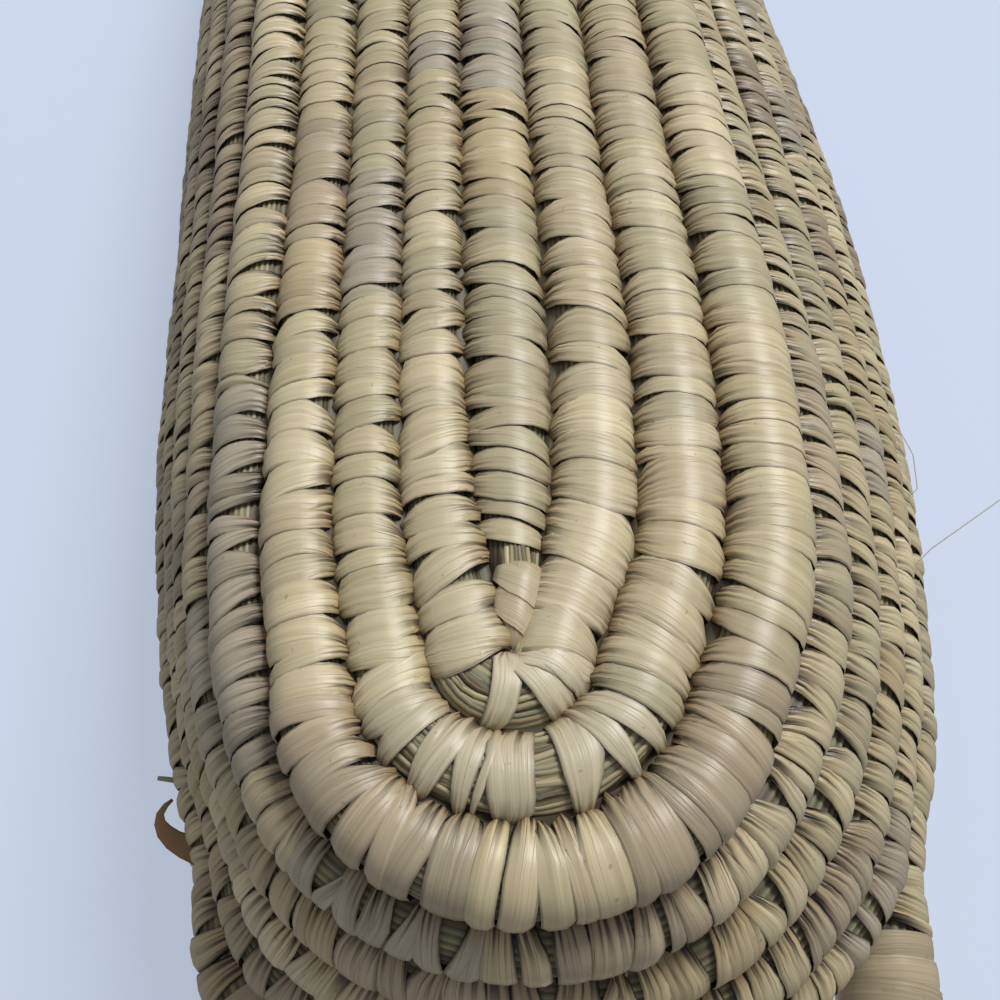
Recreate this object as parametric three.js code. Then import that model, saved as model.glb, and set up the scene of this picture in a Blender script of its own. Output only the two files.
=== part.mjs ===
// Long oval basket made by coiling: one bundle of grass stalks, bound in split palm leaf and
// wound round and round into a flat base, a flaring wall and a rim. The rim's turn is bound
// thicker where it leaves the wall at each end, as a handle. Millimetres, +Z up, standing on
// its base.
//
// A place on the coil is its turn. It is a whole number where the coil passes the near end
// (+X), and a half where it passes the far end. Seen from above, the coil runs clockwise from
// the middle outwards, with whole turns plus a quarter on the right side (-Y).
import * as THREE from 'three';

// Rows of the coil
const rowPitch = 10.5;
const rowGap = 0.5;
const bindingWall = 1.5;
const coreGap = 0.35;
const joinGap = 0.3;
const spineLength = 340;

// The maker pulled the rows tighter on one side than on the other
const nearUneven = 0.23;
const farUneven = -0.16;

// How far the rows of the base are worn flat, as a share of their radius, and the turn up to
// which they lie on it
const underCut = 0.2;
const baseEnd = 4.5;

// The bundle's start is thin, so the rows beside it run together there. The middle row lies a
// little to the right of the basket's middle line, by a share of the pitch at each end.
const startTaper = [[0, 0], [17, 0.8], [34, 1]];
const middleRowShift = [0.2, 0.38];

// Lean of the step from one row up to the next, at turns on the right, left and ends
const wallStart = 3.4;
const rightLean = [[wallStart, 0], [4.25, 55], [5.25, 39], [6.25, 44], [8.25, 57]];
const leftLean = [[wallStart, 0], [3.75, 0], [4.75, 43], [5.75, 55], [7.75, 69]];
const endLean = [[wallStart, 0], [4, 67], [5, 71], [8, 68]];
const endLeanFocus = 3;

// Share of a turn from the middle of an end to where the long side begins, and the handles on
// the rim's turn: each leaves the wall partway into the bend and rejoins it at the bend's foot
const bendShare = 0.092;
const handleTurn = 8;
const handleBefore = bendShare * 0.75;
const handleAfter = bendShare;
const handleThickness = 14.2;
const handleReach = 25;
const handleSwell = 0.03;
const handleBands = 14;
const bandStep = 0.5;

// End of the coil, thinned out on top of the rim
const tailEnd = 8.7;
const tailTaper = 0.1;
const tailTip = 0.45;

// Start of the bundle, tapered and bound
const rowStartAt = 14.5;
const tipStartAt = 10.5;
const tipEndAt = 5.5;
const tipSlim = 0.7;
const tipWall = 0.5;
const tieWidth = 1.5;
const tieGap = 0.25;
const tiePlaces = [9.3, 7.2];

// Single stalks that show at the start and in the first bend, and their places round the core
const stalkThickness = 0.8;
const stalkGap = 0.25;
const strayLength = 3.2;
const strayPlaces = [-150, -90, -30];
const bentPlaces = [-135, -108, -72, -45];

// Bends left open, so that the stalks show: all of the first, and between bands on the second
const firstBend = [0.905, 1.015];
const secondBend = [1.93, 2.07];
const bendBands = 5;
const bandShare = 0.68;

// Ends that stick out of the wall
const leafEndTurn = 7.914;
const leafEndLength = 9;
const leafEndWidth = 3.2;
const leafEndWall = 0.6;
const leafEndCurl = 110;
const leafEndTaper = 0.6;
const leafEndSteps = 6;
const strawTurn = 7.9;
const strawLength = 6;
const strawThickness = 0.9;
const strawDrop = 0.25;
const looseGap = 0.3;

// Facets
const rowSides = 8;
const coreSides = 6;
const bendSteps = 8;
const straightMarks = [startTaper[1][0] / spineLength, startTaper[2][0] / spineLength, 0.3, 0.55, 0.8];
const spareTurn = 0.25;
const tiny = 1e-9;

const fullTurn = 2 * Math.PI;
const { lerp, smoothstep, clamp, degToRad } = THREE.MathUtils;

const plant = (color, roughness) => new THREE.MeshStandardMaterial({ color, roughness, metalness: 0 });
const paleLeaf = plant(0xcbbb90, 0.55);
const tanLeaf = plant(0xbda886, 0.58);
const handleLeaf = plant(0xb9a884, 0.5);
const stalk = plant(0x9c9163, 0.7);
const brownLeaf = plant(0x8f6f4c, 0.65);

const basket = new THREE.Group();

function place(name, geometry, material) {
  geometry.computeVertexNormals();
  const mesh = new THREE.Mesh(geometry, material);
  mesh.name = name;
  basket.add(mesh);
}

function interpolate(table, x) {
  const after = table.findIndex((entry) => entry[0] > x);
  if (after < 1) {
    return table[after === 0 ? 0 : table.length - 1][1];
  }
  const [x0, y0] = table[after - 1];
  const [x1, y1] = table[after];
  return lerp(y0, y1, (x - x0) / (x1 - x0));
}

// How far a turn is into a handle: 0 on the wall, 1 from the given run inside it
function handleZone(turn, margin, run) {
  let zone = 0;
  for (const middle of [handleTurn, handleTurn + 0.5]) {
    const inside = Math.min(turn - middle + handleBefore, middle + handleAfter - turn) + margin;
    zone = Math.max(zone, smoothstep(inside, 0, run));
  }
  return zone;
}

function plainWidth(turn) {
  const u = fullTurn * turn;
  const near = nearUneven * Math.cos(u / 2) ** 2;
  const far = farUneven * Math.sin(u / 2) ** 2;
  return rowPitch * (1 + Math.sin(u) * (near + far));
}

// Distance from the bundle's start, along the middle row
const fromStart = (turn) => (turn - bendShare) / (0.5 - 2 * bendShare) * spineLength;
const startTaperAt = (turn) => interpolate(startTaper, fromStart(turn));
const tailTaperAt = (turn) => lerp(tailTip, 1, clamp((tailEnd - turn) / tailTaper, 0, 1));

// Space that a row takes up across its length
function rowWidth(turn) {
  const swell = handleZone(turn, handleSwell, handleSwell);
  return lerp(plainWidth(turn), handleThickness + rowGap, swell) * startTaperAt(turn) * tailTaperAt(turn);
}

const rowRadius = (turn) => (rowWidth(turn) - rowGap) / 2;
const baseHeight = (turn) => (plainWidth(turn) - rowGap) / 2 * (1 - underCut);

function lean(turn) {
  const right = 0.5 + 0.5 * Math.sin(fullTurn * turn);
  const side = lerp(interpolate(leftLean, turn), interpolate(rightLean, turn), right);
  const endwise = Math.abs(Math.cos(fullTurn * turn)) ** endLeanFocus;
  return degToRad(lerp(side, interpolate(endLean, turn), endwise));
}

// Middle row, from the near end to the far one
function middleRow(turn) {
  const share = fromStart(turn) / spineLength;
  const shift = lerp(...middleRowShift, share) * rowPitch * startTaperAt(turn);
  return new THREE.Vector2(spineLength * (0.5 - share), -shift);
}

// First turn: it bends close round the end of the middle row and comes back along its other
// side, and then bends round the bundle's start. Each bend turns about the gap inside it.
function firstTurn(turn) {
  if (turn < 0.5 - bendShare - tiny) {
    return middleRow(turn);
  }
  const bend = turn > 0.75 ? 1 : 0.5;
  const away = turn - bend;
  if (Math.abs(away) <= bendShare + tiny) {
    const before = middleRow(bend === 1 ? bendShare : 0.5 - bendShare);
    const pivot = before.y + (bend === 1 ? 0 : rowWidth(0.5 - bendShare) / 2);
    const angle = away / bendShare * Math.PI / 2;
    const end = bend === 1 ? 1 : -1;
    const radius = rowWidth(turn) / 2;
    return new THREE.Vector2(before.x + end * radius * Math.cos(angle), pivot - end * radius * Math.sin(angle));
  }
  const beside = middleRow(1 - turn);
  beside.y += (rowWidth(turn) + rowWidth(1 - turn)) / 2;
  return beside;
}

// Level direction square to a row and away from the middle, where two stretches meet
function outwardBetween(before, here, after) {
  const arrive = here.clone().sub(before).setZ(0).normalize();
  const leave = after.clone().sub(here).setZ(0).normalize();
  const travel = arrive.add(leave).normalize();
  return new THREE.Vector3(-travel.y, travel.x, 0);
}

function turnMarks() {
  const half = [];
  for (let i = 0; i < bendSteps / 2; i += 1) {
    half.push(bendShare * i / (bendSteps / 2));
  }
  for (const mark of [0, ...straightMarks, 1]) {
    half.push(lerp(bendShare, 0.5 - bendShare, mark));
  }
  for (let i = 1; i < bendSteps / 2; i += 1) {
    half.push(0.5 - bendShare + bendShare * i / (bendSteps / 2));
  }
  return [...half, 0.5, ...half.slice(1).reverse().map((mark) => 1 - mark)];
}

// The whole coil: each row is laid against the row inside it, a step away and square to it
function windCoil() {
  const marks = turnMarks();
  const stations = [];
  for (let i = 0; ; i += 1) {
    const turn = Math.floor(i / marks.length) + marks[i % marks.length];
    if (turn > tailEnd + spareTurn) {
      return stations;
    }
    const inside = stations[i - marks.length];
    if (turn < 1 + bendShare) {
      const spot = firstTurn(turn);
      stations.push({ turn, point: new THREE.Vector3(spot.x, spot.y, baseHeight(turn)), rise: 0 });
    } else {
      const before = stations[i - marks.length - 1].point;
      const after = stations[i - marks.length + 1].point;
      const outward = outwardBetween(before, inside.point, after);
      const step = (rowWidth(turn) + rowWidth(turn - 1)) / 2;
      const level = step * Math.cos(lean(turn)) + handleReach * handleZone(turn, 0, handleBefore);
      const point = inside.point.clone().addScaledVector(outward, level);
      const rise = inside.rise + step * Math.sin(lean(turn));
      point.z = baseHeight(turn) + rise;
      stations.push({ turn, point, rise });
    }
  }
}

const coil = windCoil();
const handles = [handleTurn, handleTurn + 0.5].map((middle) => [middle - handleBefore, middle + handleAfter]);

// The coil's facets: its stations, and in a handle the starts of its bands
const facetTurns = coil.map((station) => station.turn)
  .filter((turn) => !handles.some(([from, to]) => turn > from - tiny && turn < to + tiny));
for (const [from, to] of handles) {
  for (let i = 0; i <= handleBands; i += 1) {
    facetTurns.push(lerp(from, to, i / handleBands));
  }
}
facetTurns.sort((a, b) => a - b);

// Centre, outward direction and radius of the bundle at any turn
function at(turn) {
  const last = coil.findIndex((station) => station.turn >= turn - tiny);
  const next = coil[last];
  const back = coil[last - 1];
  const share = clamp((turn - back.turn) / (next.turn - back.turn), 0, 1);
  const around = [coil[last - 2].point, back.point, next.point, coil[last + 1].point];
  const nextOut = outwardBetween(...around.slice(1));
  const backOut = outwardBetween(...around.slice(0, 3));
  const isHandle = handles.some(([from, to]) => turn > from && turn < to);
  const curve = new THREE.CatmullRomCurve3(around, false, 'catmullrom');
  return {
    point: isHandle ? curve.getPoint((1 + share) / 3) : back.point.clone().lerp(next.point, share),
    outward: backOut.lerp(nextOut, share).normalize(),
    radius: rowRadius(turn),
  };
}

// A turn further along the coil by a length
function moved(turn, length) {
  const small = 0.001;
  const speed = at(turn + small).point.distanceTo(at(turn - small).point) / (2 * small);
  return turn + length / speed;
}

// The facets between two turns, with those two
function turnsBetween(from, to) {
  const close = bendShare / bendSteps / 20;
  return [from, ...facetTurns.filter((turn) => turn > from + close && turn < to - close), to];
}

// Round section of unit radius. Where it lies on the base its underside is worn flat.
function section(sides, isFlat) {
  const points = [];
  for (let i = 0; i < sides; i += 1) {
    const angle = fullTurn * i / sides;
    const corner = [Math.cos(angle), Math.sin(angle)];
    if (isFlat && corner[1] < underCut - 1) {
      const half = underCut / Math.tan(Math.PI / sides);
      points.push([-half, underCut - 1], [half, underCut - 1]);
    } else {
      points.push(corner);
    }
  }
  return points;
}

function ringAt(turn, radius, shape) {
  const { point, outward } = at(turn);
  return shape.map(([x, y]) => point.clone().addScaledVector(outward, x * radius).setZ(point.z + y * radius));
}

// Closed skin round rings of points: solid to the middle, or with a bore through it
class Skin {
  position = [];
  index = [];

  addRings(rings, isBore) {
    const first = this.position.length / 3;
    const count = rings[0].length;
    rings.forEach((ring) => ring.forEach((point) => this.position.push(point.x, point.y, point.z)));
    for (let r = 0; r + 1 < rings.length; r += 1) {
      for (let i = 0; i < count; i += 1) {
        const a = first + r * count + i;
        const b = first + r * count + (i + 1) % count;
        this.addFace(a, b, b + count, isBore);
        this.addFace(a, b + count, a + count, isBore);
      }
    }
    return { first, last: first + (rings.length - 1) * count, count };
  }

  addFace(a, b, c, isTurned) {
    this.index.push(...(isTurned ? [a, c, b] : [a, b, c]));
  }

  addFan(start, count, isTurned) {
    for (let i = 1; i + 1 < count; i += 1) {
      this.addFace(start, start + i, start + i + 1, isTurned);
    }
  }

  // Ring-shaped end face between an outer and an inner outline that each start at angle 0
  addCollar(outer, outerShape, inner, innerShape, isTurned) {
    const angleOf = (shape, i) => (i === shape.length ? fullTurn
      : (Math.atan2(shape[i][1], shape[i][0]) + fullTurn) % fullTurn);
    let i = 0;
    let j = 0;
    while (i < outerShape.length || j < innerShape.length) {
      const outerNext = i < outerShape.length ? angleOf(outerShape, i + 1) : Infinity;
      const innerNext = j < innerShape.length ? angleOf(innerShape, j + 1) : Infinity;
      const a = outer + i % outerShape.length;
      const b = inner + j % innerShape.length;
      if (outerNext <= innerNext) {
        i += 1;
        this.addFace(a, outer + i % outerShape.length, b, isTurned);
      } else {
        j += 1;
        this.addFace(a, inner + j % innerShape.length, b, isTurned);
      }
    }
  }

  addSolid(rings) {
    const { first, last, count } = this.addRings(rings, false);
    this.addFan(first, count, true);
    this.addFan(last, count, false);
    return this;
  }

  addSleeve(outerRings, outerShape, boreRings, boreShape) {
    const outer = this.addRings(outerRings, false);
    const bore = this.addRings(boreRings, true);
    this.addCollar(outer.first, outerShape, bore.first, boreShape, true);
    this.addCollar(outer.last, outerShape, bore.last, boreShape, false);
    return this;
  }

  geometry() {
    const geometry = new THREE.BufferGeometry();
    geometry.setAttribute('position', new THREE.Float32BufferAttribute(this.position, 3));
    geometry.setIndex(this.index);
    return geometry;
  }
}

const boreShape = section(coreSides, false);
const isOnBase = (turn) => turn < baseEnd;

function boreRadius(turn) {
  const wall = bindingWall * startTaperAt(turn) * tailTaperAt(turn);
  return rowRadius(turn) - wall - bandStep * handleZone(turn, 0, handleSwell);
}

// Leaf binding of a stretch of the coil
function bind(from, to, outerOf = rowRadius, boreOf = boreRadius, inner = boreShape) {
  const shape = section(rowSides, isOnBase(from));
  const turns = turnsBetween(from, to);
  return new Skin().addSleeve(
    turns.map((turn) => ringAt(turn, outerOf(turn), shape)),
    shape,
    turns.map((turn) => ringAt(turn, boreOf(turn), inner)),
    inner,
  );
}

function binding(name, from, to, leaf) {
  place(name, bind(moved(from, joinGap / 2), moved(to, -joinGap / 2)).geometry(), leaf);
}

// Start of the bundle. A slim binding holds its tip, with two ties round it.
const startTurn = (distance) => bendShare + distance / spineLength * (0.5 - 2 * bendShare);
const rowStart = startTurn(rowStartAt);
const tipRadius = (turn) => rowRadius(turn) * tipSlim;
const tipBore = (turn) => tipRadius(turn) - tipWall;

place('start_binding', bind(startTurn(tipEndAt), startTurn(tipStartAt), tipRadius, tipBore).geometry(), tanLeaf);

tiePlaces.forEach((distance, i) => {
  const from = startTurn(distance - tieWidth / 2);
  const to = startTurn(distance + tieWidth / 2);
  const tieBore = (turn) => tipRadius(turn) + tieGap;
  place(`start_tie_${i + 1}`, bind(from, to, rowRadius, tieBore, section(rowSides, true)).geometry(), paleLeaf);
});

// Core: one unbroken bundle of stalks from its thin start to its thinned end
const tailStop = tailEnd - 2 * tiny;
const coreRadius = (turn) => (turn < rowStart ? tipBore(turn) : boreRadius(turn)) - coreGap;
const coreTurns = [startTurn(tipEndAt), startTurn(tipStartAt), ...turnsBetween(rowStart, tailStop)];
const coreRings = coreTurns.map((turn) => ringAt(turn, coreRadius(turn), boreShape));
place('stalk_core', new Skin().addSolid(coreRings).geometry(), stalk);

// A single stalk beside the core
function stalkBeside(name, from, to, degrees) {
  const shape = section(coreSides, false);
  const angle = degToRad(degrees);
  const rings = turnsBetween(from, to).map((turn) => {
    const { point, outward } = at(turn);
    const away = coreRadius(turn) + stalkGap + stalkThickness / 2;
    const middle = point.addScaledVector(outward, away * Math.cos(angle));
    middle.z += away * Math.sin(angle);
    const across = (x) => outward.clone().multiplyScalar(x * stalkThickness / 2);
    return shape.map(([x, y]) => middle.clone().add(across(x)).setZ(middle.z + y * stalkThickness / 2));
  });
  place(name, new Skin().addSolid(rings).geometry(), stalk);
}

strayPlaces.forEach((degrees, i) => {
  const to = startTurn(rowStartAt - joinGap);
  stalkBeside(`stray_stalk_${i + 1}`, startTurn(rowStartAt - joinGap - strayLength), to, degrees);
});
bentPlaces.forEach((degrees, i) => {
  stalkBeside(`bent_stalk_${i + 1}`, moved(firstBend[0], joinGap), moved(firstBend[1], -joinGap), degrees);
});

// Base: the middle row and three turns round it, the first two with a bend left open
binding('middle_row_binding', rowStart, 0.5, tanLeaf);
binding('base_row_1_binding_left', 0.5, firstBend[0], paleLeaf);
binding('base_row_1_binding_right', firstBend[1], 1.5, paleLeaf);
binding('base_row_2_binding_left', 1.5, secondBend[0], tanLeaf);
binding('base_row_2_binding_right', secondBend[1], 2.5, tanLeaf);
binding('base_row_3_binding', 2.5, 3.5, paleLeaf);

// Single bands across the second bend, with the stalks showing between them
const bandPitch = (secondBend[1] - secondBend[0]) / bendBands;
for (let i = 0; i < bendBands; i += 1) {
  const middle = secondBend[0] + (i + 0.5) * bandPitch;
  const half = bandPitch * bandShare / 2;
  place(`base_row_2_band_${i + 1}`, bind(middle - half, middle + half).geometry(), tanLeaf);
}

// Wall: four turns, each stepping up from the one inside it
for (let row = 1; row <= 4; row += 1) {
  binding(`wall_row_${row}_binding`, row + 2.5, row + 3.5, row % 2 ? tanLeaf : paleLeaf);
}

// Rim: the last turn, along each side between the handles
binding('rim_left_binding', handleTurn - 0.5, handleTurn - handleBefore, paleLeaf);
binding('rim_right_binding', handleTurn + handleAfter, handleTurn + 0.5 - handleBefore, tanLeaf);
binding('rim_tail_binding', handleTurn + 0.5 + handleAfter, tailStop, paleLeaf);

// Handle binding: broad bands, each overlapping the next by the thickness of the leaf
function makeHandle(name, [from, to]) {
  const shape = section(rowSides, false);
  const overlap = bandStep / handleThickness;
  const starts = turnsBetween(moved(from, joinGap / 2), moved(to, -joinGap / 2));
  const outer = [];
  for (let i = 0; i + 1 < starts.length; i += 1) {
    const stop = lerp(starts[i], starts[i + 1], i + 2 === starts.length ? 1 : 1 - overlap);
    outer.push(ringAt(starts[i], rowRadius(starts[i]), shape), ringAt(stop, rowRadius(stop) - bandStep, shape));
  }
  const bore = starts.map((turn) => ringAt(turn, boreRadius(turn), boreShape));
  place(name, new Skin().addSleeve(outer, shape, bore, boreShape).geometry(), handleLeaf);
}

makeHandle('near_handle_binding', handles[0]);
makeHandle('far_handle_binding', handles[1]);

// A torn leaf end and a straw that stick out of the rim, each starting at its surface
function makeLeafEnd() {
  const { point, outward, radius } = at(leafEndTurn);
  const along = new THREE.Vector3(-outward.y, outward.x, 0);
  const rings = [];
  const middle = point.clone().addScaledVector(outward, radius + looseGap + leafEndWall / 2);
  for (let i = 0; i <= leafEndSteps; i += 1) {
    const angle = degToRad(leafEndCurl) * i / leafEndSteps;
    const ahead = along.clone().multiplyScalar(Math.cos(angle)).addScaledVector(outward, Math.sin(angle));
    const across = along.clone().multiplyScalar(-Math.sin(angle)).addScaledVector(outward, Math.cos(angle));
    const half = leafEndWidth / 2 * (1 - leafEndTaper * i / leafEndSteps);
    rings.push([[1, -1], [-1, -1], [-1, 1], [1, 1]].map(([x, y]) => {
      const corner = middle.clone().addScaledVector(across, x * leafEndWall / 2);
      return corner.setZ(middle.z + y * half);
    }));
    middle.addScaledVector(ahead, leafEndLength / leafEndSteps);
  }
  place('loose_leaf_end', new Skin().addSolid(rings).geometry(), brownLeaf);
}

function makeStraw() {
  const { point, outward, radius } = at(strawTurn);
  const away = outward.clone().setZ(-strawDrop).normalize();
  const start = point.clone().addScaledVector(outward, radius + looseGap);
  const side = new THREE.Vector3(-outward.y, outward.x, 0);
  const up = side.clone().cross(away).negate();
  const rings = [0, 1].map((share) => section(coreSides, false).map(([x, y]) => start.clone()
    .addScaledVector(away, strawLength * share)
    .addScaledVector(side, x * strawThickness / 2)
    .addScaledVector(up, y * strawThickness / 2)));
  place('loose_straw', new Skin().addSolid(rings).geometry(), stalk);
}

makeLeafEnd();
makeStraw();

// Least gap between one turn of the coil and the next, on points of its skin: the corners of
// its facets and the middles of their long edges
function leastGap() {
  const nearby = 3 * rowPitch;
  const turns = turnsBetween(rowStart, tailStop);
  const rings = turns.map((turn) => ringAt(turn, rowRadius(turn), section(rowSides, false)));
  const samples = [];
  for (let i = 1; i < turns.length; i += 1) {
    const halfway = rings[i].map((point, k) => point.clone().lerp(rings[i - 1][k], 0.5));
    samples.push({ turn: turns[i], points: rings[i] }, { turn: (turns[i - 1] + turns[i]) / 2, points: halfway });
  }
  let least = Infinity;
  for (const inner of samples) {
    for (const outer of samples) {
      const isNext = outer.turn > inner.turn + 0.5 && outer.turn < inner.turn + 1.5;
      if (isNext && outer.points[0].distanceTo(inner.points[0]) < nearby) {
        for (const point of outer.points) {
          inner.points.forEach((other) => { least = Math.min(least, point.distanceTo(other)); });
        }
      }
    }
  }
  return least;
}

console.log(`Least gap from one turn of the coil to the next: ${leastGap().toFixed(2)} mm`);

// The origin is under the middle of the basket, on the plane that its base stands on
const extent = new THREE.Box3().setFromObject(basket);
const middle = extent.getCenter(new THREE.Vector3());
basket.position.set(-middle.x, -middle.y, -extent.min.z);

export default basket;
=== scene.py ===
import math

import bmesh
import bpy
import numpy as np
from mathutils import Matrix, Vector


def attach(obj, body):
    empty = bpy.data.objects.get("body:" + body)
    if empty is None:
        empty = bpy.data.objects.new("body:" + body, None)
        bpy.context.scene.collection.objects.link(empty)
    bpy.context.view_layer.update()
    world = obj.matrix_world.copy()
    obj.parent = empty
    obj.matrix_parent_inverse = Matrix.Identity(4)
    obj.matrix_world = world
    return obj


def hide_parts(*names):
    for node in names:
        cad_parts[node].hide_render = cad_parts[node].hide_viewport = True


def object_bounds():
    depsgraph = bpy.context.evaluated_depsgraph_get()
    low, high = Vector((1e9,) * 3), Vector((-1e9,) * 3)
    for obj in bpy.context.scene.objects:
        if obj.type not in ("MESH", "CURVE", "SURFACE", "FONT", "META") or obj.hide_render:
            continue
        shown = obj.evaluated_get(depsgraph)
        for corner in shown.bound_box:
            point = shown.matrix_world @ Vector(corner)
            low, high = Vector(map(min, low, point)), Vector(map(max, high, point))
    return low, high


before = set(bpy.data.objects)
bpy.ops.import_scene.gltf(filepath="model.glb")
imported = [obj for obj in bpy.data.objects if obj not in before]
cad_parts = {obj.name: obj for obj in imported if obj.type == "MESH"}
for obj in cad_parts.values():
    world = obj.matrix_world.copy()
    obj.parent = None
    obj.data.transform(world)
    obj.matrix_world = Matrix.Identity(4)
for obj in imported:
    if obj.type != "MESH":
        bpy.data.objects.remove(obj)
cad_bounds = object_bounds()
MM = 0.001
rng = np.random.default_rng(20)

# Camera. The basket is photographed turned over and from just above one end, so in the frame of
# the basket, which stands on its base, the camera is below it and looks up at its underside.
camera_spot = Vector((229.9, 6.55, -116.7)) * MM
camera_pitch = math.atan(1643 / 1061)
camera_yaw = math.radians(2.18)
ahead = Vector((
    -math.cos(camera_yaw) * math.cos(camera_pitch),
    -math.sin(camera_yaw) * math.cos(camera_pitch),
    math.sin(camera_pitch),
))
rightward = Vector((math.sin(camera_yaw), -math.cos(camera_yaw), 0))
upward = rightward.cross(ahead)
camera_data = bpy.data.cameras.new("camera")
camera_data.lens = 38.2
camera_data.sensor_width = 36
camera_data.clip_start = 0.01
camera_data.clip_end = 100
camera = bpy.data.objects.new("camera", camera_data)
camera.matrix_world = Matrix((rightward, upward, -ahead)).transposed().to_4x4()
camera.location = camera_spot
bpy.context.scene.collection.objects.link(camera)
bpy.context.scene.camera = camera


# Table and floor. The pale table lies against the rim and shows only from below, as in the
# photograph; the pale floor lies under the base and shows only from above.
class Wire:
    """An output of a node, with arithmetic that adds Math nodes to its tree."""

    def __init__(self, tree, socket=None):
        self.tree = tree
        self.socket = socket

    def node(self, kind, settings=None, sockets=None, output=0):
        made = self.tree.nodes.new(kind)
        for name, value in (settings or {}).items():
            setattr(made, name, value)
        for name, value in (sockets or {}).items():
            if isinstance(value, Wire):
                self.tree.links.new(value.socket, made.inputs[name])
            else:
                made.inputs[name].default_value = value
        return Wire(self.tree, made.outputs[output] if made.outputs else None)

    def math(self, operation, *values):
        return self.node("ShaderNodeMath", {"operation": operation}, dict(enumerate(values)))

    def __add__(self, other):
        return self.math("ADD", self, other)

    __radd__ = __add__

    def __mul__(self, other):
        return self.math("MULTIPLY", self, other)

    __rmul__ = __mul__

    def __sub__(self, other):
        return self.math("SUBTRACT", self, other)

    def __rsub__(self, other):
        return self.math("SUBTRACT", other, self)

    def clip(self, low, high):
        """Runs from 0 at the low value to 1 at the high one."""
        return self.node("ShaderNodeMapRange", {"clamp": True}, {0: self, 1: low, 2: high, 3: 0.0, 4: 1.0})

    def mixed(self, other, share, blend="MIX"):
        return self.node(
            "ShaderNodeMix", {"data_type": "RGBA", "blend_type": blend},
            {0: share, 6: self, 7: other}, 2,
        )


def new_material(name):
    material = bpy.data.materials.new(name)
    material.use_nodes = True
    tree = material.node_tree
    tree.nodes.clear()
    return material, Wire(tree)


table_color = (0.635, 0.715, 0.875, 1)
stage_size = 60
stage_gap = 0.5 * MM
glow_share = 0.62


def lay_stage(name, height, faces_down):
    """A wide pale plane that shows from one side only, part lit and part of an even colour."""
    bm = bmesh.new()
    bmesh.ops.create_grid(bm, x_segments=2, y_segments=2, size=stage_size)
    if faces_down:
        bmesh.ops.reverse_faces(bm, faces=bm.faces)
    bmesh.ops.translate(bm, verts=bm.verts, vec=(0, 0, height))
    mesh = bpy.data.meshes.new(name)
    bm.to_mesh(mesh)
    bm.free()
    plane = bpy.data.objects.new(name, mesh)
    bpy.context.scene.collection.objects.link(plane)
    material, start = new_material(name)
    facing = start.node("ShaderNodeNewGeometry", output="Backfacing")
    matt = start.node("ShaderNodeBsdfDiffuse", sockets={"Color": table_color})
    even = start.node("ShaderNodeEmission", sockets={"Color": table_color, "Strength": 1.0})
    cloth = start.node("ShaderNodeMixShader", sockets={0: glow_share, 1: matt, 2: even})
    clear = start.node("ShaderNodeBsdfTransparent")
    shown = start.node("ShaderNodeMixShader", sockets={0: facing, 1: cloth, 2: clear})
    start.node("ShaderNodeOutputMaterial", sockets={"Surface": shown})
    mesh.materials.append(material)
    plane.visible_shadow = False
    plane.visible_diffuse = False
    plane.visible_glossy = False
    plane.visible_transmission = False


rim_height = cad_bounds[1][2]
lay_stage("table", rim_height + stage_gap, True)
lay_stage("floor", -stage_gap, False)


# Light. A broad soft lamp stands where the window was, beyond the far end and to the right, and
# a second one lights the inside when the basket is seen from above.
def hang_lamp(name, direction, distance, size, power):
    """A round lamp that shines at the origin. Sizes are in metres and power in watts."""
    data = bpy.data.lights.new(name, "AREA")
    data.shape = "DISK"
    data.size = size
    data.energy = power
    lamp = bpy.data.objects.new(name, data)
    toward = Vector(direction).normalized()
    lamp.location = toward * distance
    lamp.rotation_euler = toward.to_track_quat("Z", "Y").to_euler()
    bpy.context.scene.collection.objects.link(lamp)


hang_lamp("window_lamp", (-0.44, -0.45, -0.85), 4, 1.9, 137)
hang_lamp("upper_lamp", (0.15, -0.2, 1), 4, 2.4, 55)
world = bpy.data.worlds.new("room")
world.use_nodes = True
world.node_tree.nodes.clear()
room = Wire(world.node_tree)
room_light = room.node("ShaderNodeBackground", sockets={"Color": (0.94, 0.97, 1, 1), "Strength": 0.29})
room_seen = room.node("ShaderNodeBackground", sockets={"Color": table_color, "Strength": 1})
seen_ray = room.node("ShaderNodeLightPath", output="Is Camera Ray")
room_mix = room.node("ShaderNodeMixShader", sockets={0: seen_ray, 1: room_light, 2: room_seen})
room.node("ShaderNodeOutputWorld", sockets={"Surface": room_mix})
bpy.context.scene.world = world
bpy.context.scene.view_settings.view_transform = "Standard"


# Bundle of stalks. Dry grass stalks laid together as thick as a finger and wound round and
# round from the middle of the base to the rim. A place on it is its turn: whole numbers are at
# the near end (+X), halves at the far end, and a quarter more than a whole on the right side.
row_pitch = 10.5
row_gap = 0.5
spine_length = 340
spine_marks = (0.3, 0.55, 0.8, 1)
near_uneven, far_uneven = 0.23, -0.16
under_cut = 0.2
start_taper = ((0, 17, 34), (0, 0.8, 1))
middle_row_shift = (0.2, 0.38)
right_lean = ((3.4, 4.25, 5.25, 6.25, 8.25), (0, 55, 39, 44, 57))
left_lean = ((3.4, 3.75, 4.75, 5.75, 7.75), (0, 0, 43, 55, 69))
end_lean = ((3.4, 4, 5, 8), (0, 67, 71, 68))
end_lean_focus = 3
bend_share = 0.092
handle_before = bend_share * 0.75
handle_after = bend_share
handle_spans = ((7.948, 8.098), (8.5 - handle_before, 8.5 + handle_after))
bound_spans = ((7.954, 8.088), handle_spans[1])
handle_thickness = 14.2
handle_reach = 25
handle_swell = 0.03
tail_end, tail_taper, tail_tip = 8.7, 0.1, 0.45
centre_shift = np.array((4.9, 4.25, 0))
bend_steps = 8
spare_turn = 0.25
fine_steps = 10


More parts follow.
